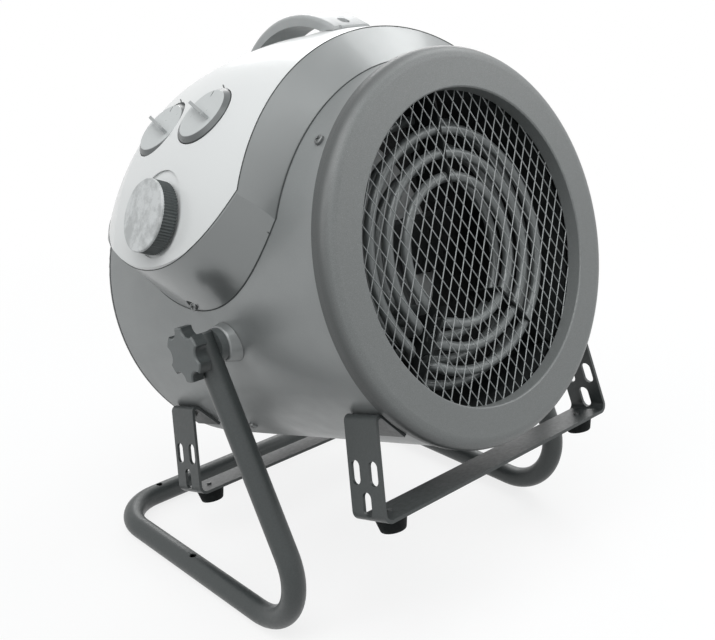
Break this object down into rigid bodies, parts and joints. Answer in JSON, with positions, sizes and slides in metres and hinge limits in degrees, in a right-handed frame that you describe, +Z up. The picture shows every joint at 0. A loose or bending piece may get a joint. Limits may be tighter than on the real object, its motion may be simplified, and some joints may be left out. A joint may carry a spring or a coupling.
{
  "type": "forced air heater",
  "caption": "Round forced air heater: a drum with fan, ring elements and a control housing, tilting between star knob clamps on a bent tube stand.",
  "frame": {"origin": "on the floor, under the middle of the bounding box", "axes": "+Z up, -Y the way the warm air leaves, X along the tilt bolts with the thermostat at negative X"},
  "size_m": [0.3866, 0.3718, 0.4546],
  "materials": {
    "silver_paint": "satin",
    "charcoal_paint": "textured",
    "frame_paint": "satin",
    "silver_plastic": "satin",
    "pale_plastic": "satin",
    "grey_plastic": "satin",
    "dark_plastic": "matte",
    "zinc_steel": "plated",
    "bright_wire": "drawn",
    "galvanised_sheet": "satin",
    "element_sheath": "drawn",
    "cast_alloy": "cast",
    "black_rubber": "matte",
    "ceramic_white": "matte"
  },
  "bodies": {
    "fan": {"fan_impeller": "cast_alloy", "motor_shaft": "zinc_steel"},
    "clamp_left": {"star_knob_left": "dark_plastic", "clamp_stud_left": "zinc_steel"},
    "clamp_right": {"star_knob_right": "dark_plastic", "clamp_stud_right": "zinc_steel"},
    "thermostat_dial": {"thermostat_knob": "grey_plastic"},
    "front_selector": {"selector_dial_front": "grey_plastic"},
    "rear_selector": {"selector_dial_rear": "grey_plastic"},
    "stand": {"stand_tube": "frame_paint", "tube_end_plugs": "dark_plastic", "saddle_washers": "dark_plastic"},
    "heater": {"bracket_screws": "zinc_steel", "cable_gland": "dark_plastic", "carry_handle": "silver_plastic", "control_panel": "pale_plastic", "control_saddle": "silver_plastic", "drum_shell": "silver_paint", "element_front_inner": "element_sheath", "element_front_middle": "element_sheath", "element_front_outer": "element_sheath", "element_rear_inner": "element_sheath", "element_rear_middle": "element_sheath", "element_rear_outer": "element_sheath", "element_supports": "galvanised_sheet", "foot_screws": "zinc_steel", "front_bracket": "frame_paint", "front_cap": "charcoal_paint", "front_cap_screws": "zinc_steel", "front_grille": "bright_wire", "gland_cap": "dark_plastic", "gland_nut": "dark_plastic", "grille_retainer": "galvanised_sheet", "handle_screws": "zinc_steel", "housing_screws": "zinc_steel", "inner_duct": "galvanised_sheet", "motor": "cast_alloy", "motor_spider": "galvanised_sheet", "pivot_bosses": "silver_plastic", "pivot_nut_plates": "zinc_steel", "rear_bracket": "frame_paint", "rear_cap": "charcoal_paint", "rear_cap_screws": "zinc_steel", "rear_guard": "frame_paint", "rotary_switches": "dark_plastic", "rubber_feet": "black_rubber", "spider_screws": "zinc_steel", "switch_bridge": "galvanised_sheet", "terminal_block": "ceramic_white", "terminal_plate": "galvanised_sheet", "thermal_cutout": "ceramic_white", "thermostat_body": "galvanised_sheet", "thermostat_bridge": "galvanised_sheet"}
  },
  "joints": [
    {"name": "tilt", "type": "hinge", "parent": "stand", "child": "heater", "pos_m": [0.00527, -0.0202, 0.2256], "axis": [1, 0, 0], "range_deg": [-73, 75]},
    {"name": "fan_spin", "type": "hinge", "parent": "heater", "child": "fan", "pos_m": [0.00527, -0.00188, 0.25149], "axis": [0, -0.9568, 0.2907], "continuous": true},
    {"name": "left_clamp_turn", "type": "hinge", "parent": "heater", "child": "clamp_left", "pos_m": [-0.15473, -0.0202, 0.2256], "axis": [-1, 0, 0], "range_deg": [0, 360]},
    {"name": "right_clamp_turn", "type": "hinge", "parent": "heater", "child": "clamp_right", "pos_m": [0.16527, -0.0202, 0.2256], "axis": [1, 0, 0], "range_deg": [0, 360]},
    {"name": "thermostat_turn", "type": "hinge", "parent": "heater", "child": "thermostat_dial", "pos_m": [-0.17788, 0.01665, 0.32281], "axis": [-0.9278, 0.1084, 0.3569], "range_deg": [-270, 0]},
    {"name": "front_selector_turn", "type": "hinge", "parent": "heater", "child": "front_selector", "pos_m": [-0.12507, 0.01728, 0.39023], "axis": [-0.6841, 0.1443, 0.7149], "range_deg": [-135, 135]},
    {"name": "rear_selector_turn", "type": "hinge", "parent": "heater", "child": "rear_selector", "pos_m": [-0.12598, 0.07353, 0.37415], "axis": [-0.6841, 0.1443, 0.7149], "range_deg": [-135, 135]}
  ]
}
